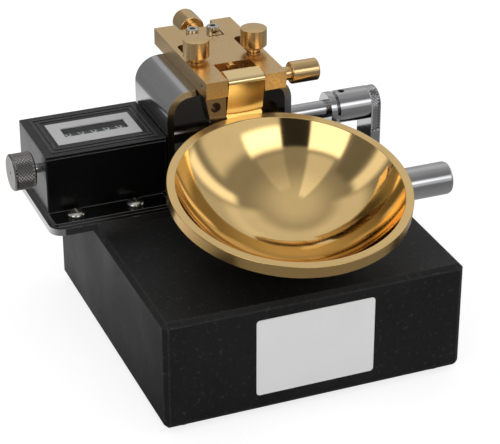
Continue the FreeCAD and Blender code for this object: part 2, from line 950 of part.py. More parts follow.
def make_grip():
    end = grip_length
    grip = turned(
        [
            (0, grip_radius - grip_edge_turn),
            (grip_edge_turn, grip_radius),
            (end - grip_edge, grip_radius),
            (end - grip_edge_turn, grip_radius - grip_edge_turn),
            (end, grip_radius - grip_edge),
        ],
        V(grip_left_x, shaft_y, grip_z),
        AXIS_X,
    )
    bore = spindle_radius + running_fit
    grip = grip.cut(rod(grip_left_x, grip_left_x + end, shaft_y, grip_z, bore))
    recess = grip_left_x + end - spindle_head_recess - side_gap
    return grip.cut(
        rod(recess, grip_left_x + end, shaft_y, grip_z, spindle_head_radius + side_gap)
    )


def make_counter_case():
    x0 = counter_left_x
    x1 = counter_right_x
    y0 = counter_front_y
    y1 = y0 + counter_depth
    z0 = shelf_top
    wall = counter_wall
    case = box(x0, x1, y0, y1, z0, counter_top)
    case = case.makeFillet(counter_edge, edges_along(case, AXIS_Z, lambda point: True))
    case = case.cut(box(x0 + wall, x1 - wall, y0 + wall, y1 - wall, z0, counter_top))
    relief = frame_foot_bend + side_gap
    flange_right = x1 - relief
    flange = box(x0, flange_right, y0 - flange_depth, y0 + wall, z0, z0 + flange_thickness)
    corners = edges_along(flange, AXIS_Z, lambda point: point.y < y0 - flange_depth + 1e-6)
    flange = flange.makeFillet(flange_corner, corners)
    case = case.fuse(flange).removeSplitter()
    case = case.cut(box(x1 - relief, x1, y0 - wall, y1, z0, z0 + relief))
    for x, y in counter_screw_places():
        case = case.cut(post(x, y, z0, z0 + flange_thickness, counter_screw_radius))
    opening = dog_radius + dog_opening_gap
    case = case.cut(rod(x1 - wall, x1, shaft_y, shaft_z, opening))
    return case.cut(rod(x0, x0 + wall, reset_y, reset_z, reset_shaft_radius + running_fit))


def make_counter_cover():
    x0 = counter_left_x
    x1 = counter_right_x
    y0 = counter_front_y
    y1 = y0 + counter_depth
    cover = box(x0, x1, y0, y1, counter_top, window_top)
    cover = cover.makeFillet(counter_edge, edges_along(cover, AXIS_Z, lambda point: True))
    seat = window_top - face_thickness
    return cover.cut([face_box(seat), window_box(0, counter_top, seat)])


def face_box(seat):
    right = face_left_x + face_width
    back = face_front_y + face_depth
    return box(face_left_x, right, face_front_y, back, seat, window_top)


def window_box(grow, z0, z1):
    return box(
        window_left_x - grow,
        window_left_x + window_width + grow,
        window_front_y - grow,
        window_front_y + window_depth + grow,
        z0,
        z1,
    )


def make_face_plate():
    seat = window_top - face_thickness
    return face_box(seat).cut(window_box(0, seat, window_top))


def make_window():
    top = window_top - face_thickness
    return window_box(0, top - window_thickness, top)


def make_counter_screws():
    screws = []
    seat = shelf_top + flange_thickness
    for x, y in counter_screw_places():
        screws.append(
            pan_screw(
                x,
                y,
                seat,
                counter_screw_head_radius,
                counter_screw_head_height,
                counter_screw_radius,
                seat - base_top,
            )
        )
    return Part.makeCompound(screws)


def chassis_cheeks():
    left = window_left_x - side_gap - chassis_sheet
    right = window_left_x + window_width + side_gap
    return left, right


def make_chassis():
    left, right = chassis_cheeks()
    y0 = axle_y - chassis_half_depth
    y1 = axle_y + chassis_half_depth
    floor = box(left, right + chassis_sheet, y0, y1, shelf_top, shelf_top + chassis_sheet)
    top = axle_z + chassis_above_axle
    cheeks = [box(x, x + chassis_sheet, y0, y1, shelf_top, top) for x in (left, right)]
    chassis = floor.fuse(cheeks).removeSplitter()
    return chassis.cut(rod(left, right + chassis_sheet, axle_y, axle_z, axle_radius))


def make_axle():
    left, right = chassis_cheeks()
    return rod(left, right + chassis_sheet, axle_y, axle_z, axle_radius)


def make_wheel(place):
    """One number wheel: a rim, a web and a hub that turns on the axle."""
    x0 = window_left_x + wheel_pitch * place + wheel_gap / 2
    x1 = x0 + wheel_pitch - wheel_gap
    wheel = rod(x0, x1, axle_y, axle_z, wheel_radius)
    hollow = rod(x0 + wheel_web, x1, axle_y, axle_z, wheel_radius - wheel_rim)
    hub = rod(x0, x1, axle_y, axle_z, axle_radius + wheel_web)
    wheel = wheel.cut(hollow).fuse(hub).removeSplitter()
    return wheel.cut(rod(x0, x1, axle_y, axle_z, axle_radius + running_fit))


def make_reset_shaft():
    x0 = reset_knob_left_x + reset_knob_length / 2
    x1 = counter_left_x + reset_shaft_inside
    shaft = rod(x0, x1, reset_y, reset_z, reset_shaft_radius)
    gear = rod(x1, x1 + reset_gear_width, reset_y, reset_z, reset_gear_radius)
    return shaft.fuse(gear)


def make_reset_knob():
    length = reset_knob_length
    knob = turned(
        [
            (0, reset_knob_radius - reset_knob_edge),
            (reset_knob_edge, reset_knob_radius),
            (length - reset_knob_edge, reset_knob_radius),
            (length, reset_knob_radius - reset_knob_edge),
        ],
        V(reset_knob_left_x, reset_y, reset_z),
        AXIS_X,
    )
    x1 = reset_knob_left_x + length
    knob = knob.cut(rod(reset_knob_left_x + length / 2, x1, reset_y, reset_z, reset_shaft_radius))
    return knob.cut(
        rod(reset_knob_left_x, reset_knob_left_x + length / 2, reset_y, reset_z, reset_knob_hole)
    )


def save(name, shape):
    shape.exportStep("parts/" + name + ".step")


def main():
    os.makedirs("parts", exist_ok=True)
    save("base_block", make_base())
    save("base_feet", make_feet())
    save("foot_screws", make_foot_screws())
    save("front_label", make_label())
    save("frame", make_frame())
    save("frame_back_plate", make_back_plate())
    save("frame_screws", make_frame_screws())
    save("shelf_screws", make_shelf_screws())
    save("shaft_bush_left", make_bush(frame_left + frame_sheet, -1))
    save("shaft_bush_right", make_bush(frame_right - frame_sheet, 1))
    save("clamp_nuts", make_clamp_nuts())
    left_x, right_x = clamp_places()
    save("clamp_screw_left", make_clamp_screw(left_x, 0))
    save("clamp_screw_right", make_clamp_screw(right_x, clamp_right_lift))
    save("carriage_plate", make_plate())
    save("carriage_ear", make_ear())
    save("ear_screw", make_ear_screw())
    save("adjusting_lug", make_lug())
    save("lug_screws", make_lug_screws())
    save("adjusting_screw", make_adjusting_screw())
    save("adjusting_knob", make_adjusting_knob())
    save("hinge_pin", make_hinge_pin())
    save("hinge_pin_knob", make_pin_knob())
    save("cup", make_cup())
    save("cup_hanger", make_hanger())
    save("cam_follower", make_follower())
    save("camshaft", make_shaft())
    save("cam", make_cam())
    save("cam_set_screw", make_cam_set_screw())
    save("drive_dog", make_drive_dog())
    save("shaft_collar", make_collar())
    save("crank_hub", make_hub())
    save("hub_set_screw", make_hub_screw())
    save("crank_arm", make_arm())
    save("handle_spindle", make_spindle())
    save("handle_grip", make_grip())
    save("counter_case", make_counter_case())
    save("counter_cover", make_counter_cover())
    save("counter_face_plate", make_face_plate())
    save("counter_window", make_window())
    save("counter_screws", make_counter_screws())
    save("counter_chassis", make_chassis())
    save("counter_axle", make_axle())
    for place in range(wheel_count):
        save("number_wheel_%d" % (place + 1), make_wheel(place))
    save("reset_shaft", make_reset_shaft())
    save("reset_knob", make_reset_knob())
    print("cup tilt %.3f degrees, cam top radius %.3f mm" % (cup_tilt, cam_top_radius()))


main()
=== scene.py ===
import json
import math

import bmesh
import bpy
from mathutils import Matrix, Vector

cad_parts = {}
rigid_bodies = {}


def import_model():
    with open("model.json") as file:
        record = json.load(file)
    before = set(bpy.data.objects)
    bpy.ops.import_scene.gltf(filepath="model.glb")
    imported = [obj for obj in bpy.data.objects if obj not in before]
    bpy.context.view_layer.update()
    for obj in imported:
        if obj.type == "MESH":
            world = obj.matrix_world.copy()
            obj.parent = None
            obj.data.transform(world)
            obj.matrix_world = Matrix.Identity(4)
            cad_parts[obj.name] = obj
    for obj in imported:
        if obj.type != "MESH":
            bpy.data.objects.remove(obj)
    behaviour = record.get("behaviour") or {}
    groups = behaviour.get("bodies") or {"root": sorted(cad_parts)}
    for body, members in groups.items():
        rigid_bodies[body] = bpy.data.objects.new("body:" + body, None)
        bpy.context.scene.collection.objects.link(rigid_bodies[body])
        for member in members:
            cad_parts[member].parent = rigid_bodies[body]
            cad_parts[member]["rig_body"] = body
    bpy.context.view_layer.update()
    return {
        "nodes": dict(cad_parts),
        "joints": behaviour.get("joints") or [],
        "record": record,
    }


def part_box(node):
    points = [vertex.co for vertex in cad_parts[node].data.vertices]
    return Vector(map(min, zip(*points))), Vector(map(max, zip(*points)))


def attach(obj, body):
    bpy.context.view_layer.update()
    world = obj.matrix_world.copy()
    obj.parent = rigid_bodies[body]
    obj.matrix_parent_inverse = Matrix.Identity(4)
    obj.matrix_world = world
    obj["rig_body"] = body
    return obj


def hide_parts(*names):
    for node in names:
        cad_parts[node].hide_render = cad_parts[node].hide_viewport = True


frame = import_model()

# Liquid limit device: a brass cup on a hinged hanger, a cam shaft with a crank,
# a steel frame with a revolution counter, and a hard rubber base.
# Metres, in the CAD model's frame: +Z up, +Y to the back, +X to the crank.

NODES = frame["nodes"]
MM = 0.001
MERGE_DISTANCE = MM / 500
FLATNESS_DEGREES = 0.4
ALONG_X = Vector((1, 0, 0))
ALONG_Y = Vector((0, 1, 0))
ALONG_Z = Vector((0, 0, 1))


def joint_place(name):
    """The point on a hinge's axis, from the frame."""
    for joint in frame["joints"]:
        if joint["name"] == name:
            return Vector(joint["pos_m"])
    raise ValueError(name)


def centre(node):
    low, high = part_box(node)
    return (low + high) / 2


# Places of the turned pieces' axes
SHAFT = joint_place("crank_turn")
GRIP = joint_place("grip_spin")
RESET = joint_place("reset_turn")
ADJUSTER = joint_place("adjuster_turn")
HINGE = joint_place("cup_hinge")
WHEELS = 5

# The cup: a bowl turned about its own axis, which leans with the tilt of the hanger
CUP_INNER_RADIUS = 54.0 * MM
CUP_WALL = 2.0 * MM
CUP_DEPTH = 27.0 * MM
RIM_RADIUS = 50.2 * MM
RIM_HEIGHT = 5.5 * MM
RIM_BELOW_PIN = 13.0 * MM
RIM_AHEAD_OF_PIN = 6.7 * MM
CUP_TILT = 12.111


# Making pieces

def deselect():
    bpy.ops.object.select_all(action="DESELECT")


def start_edit(piece):
    deselect()
    piece.select_set(True)
    bpy.context.view_layer.objects.active = piece
    bpy.ops.object.mode_set(mode="EDIT")
    bpy.ops.mesh.select_mode(type="VERT")


def end_edit():
    bpy.ops.object.mode_set(mode="OBJECT")


def settle(piece, name, angle=30):
    """Puts a finished piece's place into its mesh, and smooths it up to the angle."""
    deselect()
    piece.select_set(True)
    bpy.context.view_layer.objects.active = piece
    bpy.ops.object.transform_apply(location=True, rotation=True, scale=True)
    bpy.ops.object.shade_smooth_by_angle(angle=math.radians(angle))
    piece.name = name
    piece.data.name = name
    return piece


def flatten(piece):
    """Keeps the broad faces flat up to their broken edges, which alone catch the light."""
    apply_modifier(piece, "WEIGHTED_NORMAL", keep_sharp=True, weight=80)
    return piece


def apply_modifier(piece, kind, **settings):
    modifier = piece.modifiers.new(kind.lower(), kind)
    for key, value in settings.items():
        setattr(modifier, key, value)
    deselect()
    piece.select_set(True)
    bpy.context.view_layer.objects.active = piece
    bpy.ops.object.modifier_apply(modifier=modifier.name)


def break_edges(piece, width, segments=2, angle=35):
    """A small round on every edge that is sharper than the angle."""
    apply_modifier(
        piece, "BEVEL", width=width, segments=segments, limit_method="ANGLE",
        angle_limit=math.radians(angle), harden_normals=False,
    )


def pick(piece, test):
    """In edit mode, selects the faces whose middle and normal pass the test."""
    bpy.ops.mesh.select_mode(type="FACE")
    bpy.ops.mesh.select_all(action="DESELECT")
    mesh = bmesh.from_edit_mesh(piece.data)
    for face in mesh.faces:
        face.select = test(face.calc_center_median(), face.normal)
    mesh.select_flush(True)
    bmesh.update_edit_mesh(piece.data)


def across(axis):
    """A direction at right angles to the axis."""
    helper = ALONG_Z if abs(axis.z) < 0.9 else ALONG_X
    return axis.cross(helper).normalized()


def drawn(points):
    """A line of edges through the points, left in edit mode."""
    bpy.ops.mesh.primitive_plane_add(size=MM)
    piece = bpy.context.object
    bpy.ops.object.mode_set(mode="EDIT")
    bpy.ops.mesh.select_mode(type="VERT")
    bpy.ops.mesh.select_all(action="SELECT")
    bpy.ops.mesh.merge(type="CENTER")
    bpy.ops.transform.translate(value=points[0])
    for before, after in zip(points, points[1:]):
        bpy.ops.mesh.extrude_region_move(TRANSFORM_OT_translate={"value": after - before})
    bpy.ops.mesh.select_all(action="SELECT")
    return piece


def turned(name, profile, start, axis, steps, smooth):
    """A turned piece: (distance along the axis, radius) points, spun about the axis."""
    side = across(axis)
    piece = drawn([start + axis * along + side * radius for along, radius in profile])
    bpy.ops.mesh.spin(steps=steps, angle=math.tau, center=start, axis=axis)
    bpy.ops.mesh.select_all(action="SELECT")
    bpy.ops.mesh.remove_doubles(threshold=MERGE_DISTANCE)
    bpy.ops.mesh.normals_make_consistent(inside=False)
    end_edit()
    return settle(piece, name, smooth)


def eased(node, name, width, segments=2, angle=35):
    """A copy of a CAD piece, merged, with its edges broken by a small round."""
    piece = NODES[node].copy()
    piece.data = NODES[node].data.copy()
    for key in list(piece.keys()):
        del piece[key]
    bpy.context.scene.collection.objects.link(piece)
    piece.parent = None
    start_edit(piece)
    bpy.ops.mesh.customdata_custom_splitnormals_clear()
    bpy.ops.mesh.select_all(action="SELECT")
    bpy.ops.mesh.remove_doubles(threshold=MERGE_DISTANCE)
    bpy.ops.mesh.dissolve_limited(angle_limit=math.radians(FLATNESS_DEGREES))
    end_edit()
    break_edges(piece, width, segments, angle)
    return flatten(settle(piece, name))


def joined(pieces, name):
    """Several meshes joined into one piece."""
    deselect()
    for piece in pieces:
        piece.select_set(True)
    bpy.context.view_layer.objects.active = pieces[0]
    bpy.ops.object.join()
    pieces[0].name = name
    pieces[0].data.name = name
    return pieces[0]


def dress(piece, node, material=None):
    """Lets the piece stand for the CAD node: the node is hidden and the piece rides on the node's
    body.
    """
    if material:
        paint(piece, material)
    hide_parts(node)
    return carry(piece, node)


def carry(piece, node):
    """Lets the piece ride with the CAD node's body."""
    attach(piece, NODES[node]["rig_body"])
    return piece


def paint(piece, material):
    piece.data.materials.clear()
    piece.data.materials.append(material)


NODE_SLOT = {entry["node"]: entry["material_slot"] for entry in frame["record"]["subparts"]}


# Finishes

class Finish:
    """A material's node tree, with short ways to add and join its nodes."""

    def __init__(self, name):
        self.material = bpy.data.materials.new(name)
        self.material.use_nodes = True
        self.tree = self.material.node_tree
        self.tree.nodes.clear()
        self.output = self.add("ShaderNodeOutputMaterial")
        self.shader = self.add("ShaderNodeBsdfPrincipled")
        self.join(self.shader, "BSDF", self.output, "Surface")
        self.place = self.add("ShaderNodeTexCoord")

    def add(self, kind, **settings):
        node = self.tree.nodes.new(kind)
        for key, value in settings.items():
            setattr(node, key, value)
        return node

    def join(self, source, out, target, into):
        self.tree.links.new(source.outputs[out], target.inputs[into])

    def put(self, **values):
        """Constant values, set straight on the shader's own sockets."""
        for key, value in values.items():
            self.shader.inputs[key.replace("_", " ")].default_value = value

    def stretched(self, scale):
        """The place on the piece, scaled apart along its axes."""
        node = self.add("ShaderNodeMapping")
        node.inputs["Scale"].default_value = scale
        self.join(self.place, "Object", node, "Vector")
        return node

    def noise(self, scale, detail=3, roughness=0.5, stretch=None):
        node = self.add("ShaderNodeTexNoise")
        node.inputs["Scale"].default_value = scale
        node.inputs["Detail"].default_value = detail
        node.inputs["Roughness"].default_value = roughness
        if stretch:
            self.join(self.stretched(stretch), "Vector", node, "Vector")
        else:
            self.join(self.place, "Object", node, "Vector")
        return node

    def ramp(self, source, out, stops):
        node = self.add("ShaderNodeValToRGB")
        ramp = node.color_ramp
        while len(ramp.elements) < len(stops):
            ramp.elements.new(0.5)
        for element, (place, colour) in zip(ramp.elements, stops):
            element.position = place
            element.color = (*colour, 1)
        self.join(source, out, node, "Fac")
        return node

    def spread(self, source, out, low, high, start=0.0, end=1.0):
        """A value moved from the range start to end into the range low to high."""
        node = self.add("ShaderNodeMapRange")
        node.inputs["From Min"].default_value = start
        node.inputs["From Max"].default_value = end
        node.inputs["To Min"].default_value = low
        node.inputs["To Max"].default_value = high
        self.join(source, out, node, "Value")
        return node

    def bump(self, source, out, distance, strength):
        node = self.add("ShaderNodeBump")
        node.inputs["Distance"].default_value = distance
        node.inputs["Strength"].default_value = strength
        self.join(source, out, node, "Height")
        self.join(node, "Normal", self.shader, "Normal")

    def maths(self, operation, first, first_out, second, second_out):
        node = self.add("ShaderNodeMath", operation=operation)
        self.join(first, first_out, node, 0)
        self.join(second, second_out, node, 1)
        return node

    def to_world(self):
        """Turns a direction on the piece into one in the world."""
        return self.add(
            "ShaderNodeVectorTransform", vector_type="VECTOR", convert_from="OBJECT",
            convert_to="WORLD",
        )


def grey(value):
    return (value, value, value)


def shade(colour, by):
    return tuple(channel * by for channel in colour)


def edge_mask(finish, radius):
    """1 near an edge and 0 on a flat: how far a rounded normal turns from the true one."""
    rounded = finish.add("ShaderNodeBevel", samples=6)
    rounded.inputs["Radius"].default_value = radius
    surface = finish.add("ShaderNodeNewGeometry")
    turn = finish.add("ShaderNodeVectorMath", operation="DOT_PRODUCT")
    finish.join(rounded, "Normal", turn, 0)
    finish.join(surface, "Normal", turn, 1)
    return finish.spread(turn, "Value", 1.0, 0.0, 0.86, 0.995)


def edges_worn(finish, source, out, colour, radius):
    """The base colour, changed to a brighter one along the edges: a painted highlight."""
    mask = edge_mask(finish, radius)
    mixed = finish.add("ShaderNodeMix", data_type="RGBA")
    finish.join(mask, "Result", mixed, "Factor")
    finish.join(source, out, mixed, 6)
    mixed.inputs[7].default_value = (*colour, 1)
    finish.join(mixed, 2, finish.shader, "Base Color")


def turned_finish(name, colour, roughness, anisotropy, start, axis, ring_depth=0.004 * MM):
    """Metal with fine turning rings about an axis, which stretch its highlights."""
    finish = Finish(name)
    finish.put(Metallic=1.0, Anisotropic=anisotropy, Anisotropic_Rotation=0.25)
    offset = finish.add("ShaderNodeVectorMath", operation="SUBTRACT")
    offset.inputs[1].default_value = start
    finish.join(finish.place, "Object", offset, 0)
    around = finish.add("ShaderNodeVectorMath", operation="CROSS_PRODUCT")
    around.inputs[0].default_value = axis
    finish.join(offset, "Vector", around, 1)
    tangent = finish.to_world()
    finish.join(around, "Vector", tangent, "Vector")
    unit = finish.add("ShaderNodeVectorMath", operation="NORMALIZE")
    finish.join(tangent, "Vector", unit, 0)
    finish.join(unit, "Vector", finish.shader, "Tangent")
    distance = finish.add("ShaderNodeVectorMath", operation="LENGTH")
    finish.join(around, "Vector", distance, 0)
    along = finish.add("ShaderNodeVectorMath", operation="DOT_PRODUCT")
    along.inputs[1].default_value = axis
    finish.join(offset, "Vector", along, 0)
    ring = finish.add("ShaderNodeCombineXYZ")
    finish.join(distance, "Value", ring, "X")
    finish.join(along, "Value", ring, "Y")
    grooves = finish.add("ShaderNodeTexNoise")
    grooves.inputs["Scale"].default_value = 6000.0
    grooves.inputs["Detail"].default_value = 2.0
    finish.join(ring, "Vector", grooves, "Vector")
    finish.bump(grooves, "Fac", ring_depth, 0.5)
    patches = finish.noise(90.0, 4)
    tint = finish.ramp(patches, "Fac", [(0.3, shade(colour, 0.93)), (0.7, colour)])
    finish.join(tint, "Color", finish.shader, "Base Color")
    rough = finish.spread(patches, "Fac", roughness * 0.85, roughness * 1.2, 0.3, 0.7)
    finish.join(rough, "Result", finish.shader, "Roughness")
    return finish.material


def brushed_finish(name, colour, roughness, anisotropy, grain, direction, depth, bright_edge):
    """Flat metal with fine straight brushing; its colour is painted brighter along its edges by
    the given share, a painted highlight.
    """
    finish = Finish(name)
    finish.put(Metallic=1.0, Anisotropic=anisotropy, Anisotropic_Rotation=0.25)
    tangent = finish.to_world()
    tangent.inputs["Vector"].default_value = direction
    finish.join(tangent, "Vector", finish.shader, "Tangent")
    scratches = finish.noise(1.0, 3, 0.6, stretch=grain)
    finish.bump(scratches, "Fac", depth, 0.6)
    patches = finish.noise(60.0, 5)
    tint = finish.ramp(patches, "Fac", [(0.3, shade(colour, 0.92)), (0.7, colour)])
    # Painted highlight: the colour along the edges is lifted above the metal's own.
    edges_worn(finish, tint, "Color", shade(colour, 1 + bright_edge), 0.5 * MM)
    rough = finish.spread(scratches, "Fac", roughness * 0.9, roughness * 1.12, 0.3, 0.7)
    finish.join(rough, "Result", finish.shader, "Roughness")
    return finish.material


def hard_rubber():
    """Black ebonite, sawn and bevelled: a fine grain, and a paler colour along its edges."""
    finish = Finish("hard_rubber")
    grain = finish.noise(1400.0, 4, 0.7)
    clouds = finish.noise(35.0, 4)
    specks = finish.noise(520.0, 3, 0.6)
    body = finish.ramp(clouds, "Fac", [(0.3, grey(0.006)), (0.75, grey(0.011))])
    fleck = finish.ramp(specks, "Fac", [(0.58, grey(0.0)), (0.78, grey(0.03))])
    finish.shader.inputs["Specular IOR Level"].default_value = 0.3
    mixed = finish.add("ShaderNodeMix", data_type="RGBA", blend_type="ADD")
    mixed.inputs["Factor"].default_value = 1.0
    finish.join(body, "Color", mixed, 6)
    finish.join(fleck, "Color", mixed, 7)
    # The colour is paler along the edges, broken up by the fine grain.
    mask = edge_mask(finish, 1.2 * MM)
    bright_edge = finish.ramp(grain, "Fac", [(0.4, grey(0.03)), (0.7, grey(0.16))])
    pale_edged = finish.add("ShaderNodeMix", data_type="RGBA")
    finish.join(mask, "Result", pale_edged, "Factor")
    finish.join(mixed, 2, pale_edged, 6)
    finish.join(bright_edge, "Color", pale_edged, 7)
    finish.join(pale_edged, 2, finish.shader, "Base Color")
    rough = finish.spread(clouds, "Fac", 0.46, 0.6, 0.3, 0.7)
    finish.join(rough, "Result", finish.shader, "Roughness")
    finish.bump(grain, "Fac", 0.05 * MM, 0.5)
    return finish.material


def plain_finish(
    name, colour, roughness, grain_scale, grain_depth, variation=0.9, metallic=0.0, gloss=0.5,
    bright_edge=None,
):
    """A moulded or painted surface with a fine texture and a slight change of tone."""
    finish = Finish(name)
    finish.put(Metallic=metallic, Specular_IOR_Level=gloss)
    patches = finish.noise(80.0, 4)
    tint = finish.ramp(patches, "Fac", [(0.3, shade(colour, variation)), (0.7, colour)])
    # Where an edge colour is given, it is painted along the edges: a painted highlight.
    if bright_edge:
        edges_worn(finish, tint, "Color", bright_edge, 0.6 * MM)
    else:
        finish.join(tint, "Color", finish.shader, "Base Color")
    rough = finish.spread(patches, "Fac", roughness * 0.85, roughness * 1.15, 0.3, 0.7)
    finish.join(rough, "Result", finish.shader, "Roughness")
    grain = finish.noise(grain_scale, 2)
    finish.bump(grain, "Fac", grain_depth, 0.5)
    return finish.material


def window_pane():
    """A clear pane: see-through, with a gloss that grows at a slant."""
    finish = Finish("window_clear")
    finish.tree.nodes.remove(finish.shader)
    clear = finish.add("ShaderNodeBsdfTransparent")
    clear.inputs["Color"].default_value = (0.9, 0.92, 0.92, 1)
    gloss = finish.add("ShaderNodeBsdfGlossy")
    gloss.inputs["Roughness"].default_value = 0.03
    slant = finish.add("ShaderNodeFresnel")
    slant.inputs["IOR"].default_value = 1.45
    surface = finish.add("ShaderNodeNewGeometry")
    outer = finish.spread(surface, "Backfacing", 1.0, 0.0)
    amount = finish.maths("MULTIPLY", slant, "Fac", outer, "Result")
    mixed = finish.add("ShaderNodeMixShader")
    finish.join(amount, "Value", mixed, "Fac")
    finish.join(clear, "BSDF", mixed, 1)
    finish.join(gloss, "BSDF", mixed, 2)
    finish.join(mixed, "Shader", finish.output, "Surface")
    return finish.material


BRASS = (0.80, 0.55, 0.265)
CUP_BRASS = (0.88, 0.62, 0.27)
# The cup's outside band is a darker copy of the cup's brass: painted shade.
SHADED_BAND_BRASS = (0.80, 0.52, 0.20)
STEEL = (0.56, 0.56, 0.57)


def all_finishes():
    """One finish for each material slot of the record, and for the turned pieces' own axes."""
    brushing = (900.0, 40.0, 900.0)
    brush_depth = 0.0003 * MM
    return {
        "hard_rubber": hard_rubber(),
        "foot_rubber": plain_finish("foot_rubber", grey(0.015), 0.7, 1500.0, 0.03 * MM),
        "label_plate": plain_finish("label_plate", grey(0.88), 0.35, 700.0, 0.01 * MM, 0.98),
        # The frame's brushed steel has its edges painted brighter: a painted highlight.
        "frame_steel": brushed_finish(
            "frame_steel", STEEL, 0.18, 0.3, brushing, ALONG_Y, brush_depth, 0.35
        ),
        "screw_steel": plain_finish(
            "screw_steel", (0.66, 0.65, 0.60), 0.24, 900.0, 0.003 * MM, 0.9, 1.0
        ),
        "shaft_steel": turned_finish("shaft_steel", STEEL, 0.17, 0.5, SHAFT, ALONG_X),
        "black_steel": plain_finish("black_steel", grey(0.03), 0.4, 900.0, 0.01 * MM, 0.9, 1.0),
        "bush_bronze": turned_finish("bush_bronze", (0.5, 0.33, 0.17), 0.3, 0.4, SHAFT, ALONG_X),
        # The plate's brushed brass has its edges painted brighter: a painted highlight.
        "plate_brass": brushed_finish(
            "plate_brass", BRASS, 0.27, 0.35, brushing, ALONG_Y, brush_depth, 0.2
        ),
        "hanger_brass": plain_finish(
            "hanger_brass", (0.92, 0.70, 0.36), 0.2, 300.0, 0.0, 0.95, 1.0
        ),
        # The ear's brass is painted far darker than the plate's: painted shade.
        "ear_brass": plain_finish("ear_brass", (0.34, 0.26, 0.18), 0.3, 300.0, 0.0, 0.85, 1.0),
        "satin_steel": plain_finish(
            "satin_steel", (0.62, 0.60, 0.56), 0.5, 900.0, 0.003 * MM, 0.93, 0.1
        ),
        "cup_brass": plain_finish("cup_brass", CUP_BRASS, 0.15, 900.0, 0.0, 0.95, 1.0),
        "knob_brass": plain_finish("knob_brass", BRASS, 0.22, 900.0, 0.0, 0.93, 1.0),
        "cam_bronze": turned_finish("cam_bronze", (0.5, 0.34, 0.18), 0.3, 0.4, SHAFT, ALONG_X),
        # The counter's black is painted pale grey along its edges: a painted highlight.
        "counter_black": plain_finish(
            "counter_black", grey(0.003), 0.22, 500.0, 0.005 * MM, gloss=0.28, bright_edge=grey(0.16)
        ),
        "counter_grey": plain_finish("counter_grey", grey(0.52), 0.4, 1500.0, 0.01 * MM, 0.96),
        "window_clear": window_pane(),
        "wheel_black": plain_finish("wheel_black", (0.045, 0.05, 0.056), 0.45, 900.0, 0.01 * MM),
        "knob_grey": plain_finish(
            "knob_grey", (0.30, 0.29, 0.28), 0.3, 900.0, 0.003 * MM, 0.85, 1.0
        ),
        "figure_white": plain_finish("figure_white", grey(0.8), 0.5, 900.0, 0.0, 0.97),
    }


deselect()
FINISH = all_finishes()


def paint_carried_over():
    """Every CAD node gets its slot's finish; a node that is replaced later is hidden by then."""
    for node, slot in NODE_SLOT.items():
        paint(NODES[node], FINISH[slot])


# Pieces

def cup_axis():
    """The rim plane's centre, and the direction from there out of the bowl."""
    turn = Matrix.Rotation(math.radians(CUP_TILT), 4, "X")
    level = Vector((0, -RIM_AHEAD_OF_PIN - RIM_RADIUS, -RIM_BELOW_PIN))
    return HINGE + turn @ level, (turn @ ALONG_Z).normalized()


def make_cup():
    """The bowl, from its polished inside over a satin rim and band to its outside."""
    rim, up = cup_axis()
    inner = CUP_INNER_RADIUS
    outer = inner + CUP_WALL
    ball = inner - CUP_DEPTH
    mouth = math.sqrt(inner ** 2 - ball ** 2)
    profile = []
    steps = 40
    full = math.asin(mouth / inner)
    for step in range(steps + 1):
        angle = full * step / steps
        profile.append((ball - inner * math.cos(angle), inner * math.sin(angle)))
    profile.append((0.0, RIM_RADIUS))
    profile.append((-RIM_HEIGHT, RIM_RADIUS))
    shoulder = math.acos((ball + RIM_HEIGHT) / outer)
    for step in range(steps + 1):
        angle = shoulder * (steps - step) / steps
        profile.append((ball - outer * math.cos(angle), outer * math.sin(angle)))
    cup = turned("brass_cup", profile, rim, up, steps=192, smooth=25)
    break_edges(cup, 0.3 * MM, 3, 40)
    settle(cup, "brass_cup", 40)
    polished = turned_finish("cup_polished", CUP_BRASS, 0.07, 0.3, rim, up, 0.0005 * MM)
    satin = turned_finish("cup_satin", CUP_BRASS, 0.3, 0.6, rim, up, 0.001 * MM)
    # The outside takes the darker band brass: painted shade on the cup's outside.
    dull_shaded = turned_finish("cup_dull", SHADED_BAND_BRASS, 0.24, 0.4, rim, up, 0.001 * MM)
    paint(cup, polished)
    cup.data.materials.append(satin)
    cup.data.materials.append(dull_shaded)
    start_edit(cup)
    sphere = rim + up * ball

    def face_of_rim(middle, normal):
        return normal.dot(up) > 0.9 and (middle - rim).length > mouth

    def outside(middle, normal):
        return normal.dot((sphere - middle).normalized()) < 0.9 and not face_of_rim(middle, normal)

    for number, test in ((1, face_of_rim), (2, outside)):
        pick(cup, test)
        cup.active_material_index = number
        bpy.ops.object.material_slot_assign()
    end_edit()
    return dress(cup, "cup")


def make_base():
    base = eased("base_block", "rubber_base", 0.5 * MM, 2, 20)
    return dress(base, "base_block", FINISH["hard_rubber"])


def make_eased_pieces():
    """Milled and bent pieces: the CAD shape with its sharp edges broken."""
    for node, width, segments, finish in (
        ("carriage_plate", 0.25, 2, "plate_brass"),
        ("carriage_ear", 0.3, 2, "ear_brass"),
        ("adjusting_lug", 0.3, 2, "plate_brass"),
        ("cup_hanger", 0.5, 3, "hanger_brass"),
        ("frame", 0.3, 2, "frame_steel"),
        ("frame_back_plate", 0.2, 2, "satin_steel"),
        ("front_label", 0.12, 2, "label_plate"),
        ("counter_case", 0.35, 3, "counter_black"),
        ("counter_cover", 0.5, 3, "counter_black"),
        ("lug_screws", 0.2, 2, "screw_steel"),
        ("clamp_nuts", 0.2, 2, "screw_steel"),
        ("cam", 0.2, 2, "cam_bronze"),
        ("base_feet", 0.2, 2, "foot_rubber"),
    ):
        piece = eased(node, node + "_eased", width * MM, segments)
        dress(piece, node, FINISH[finish])


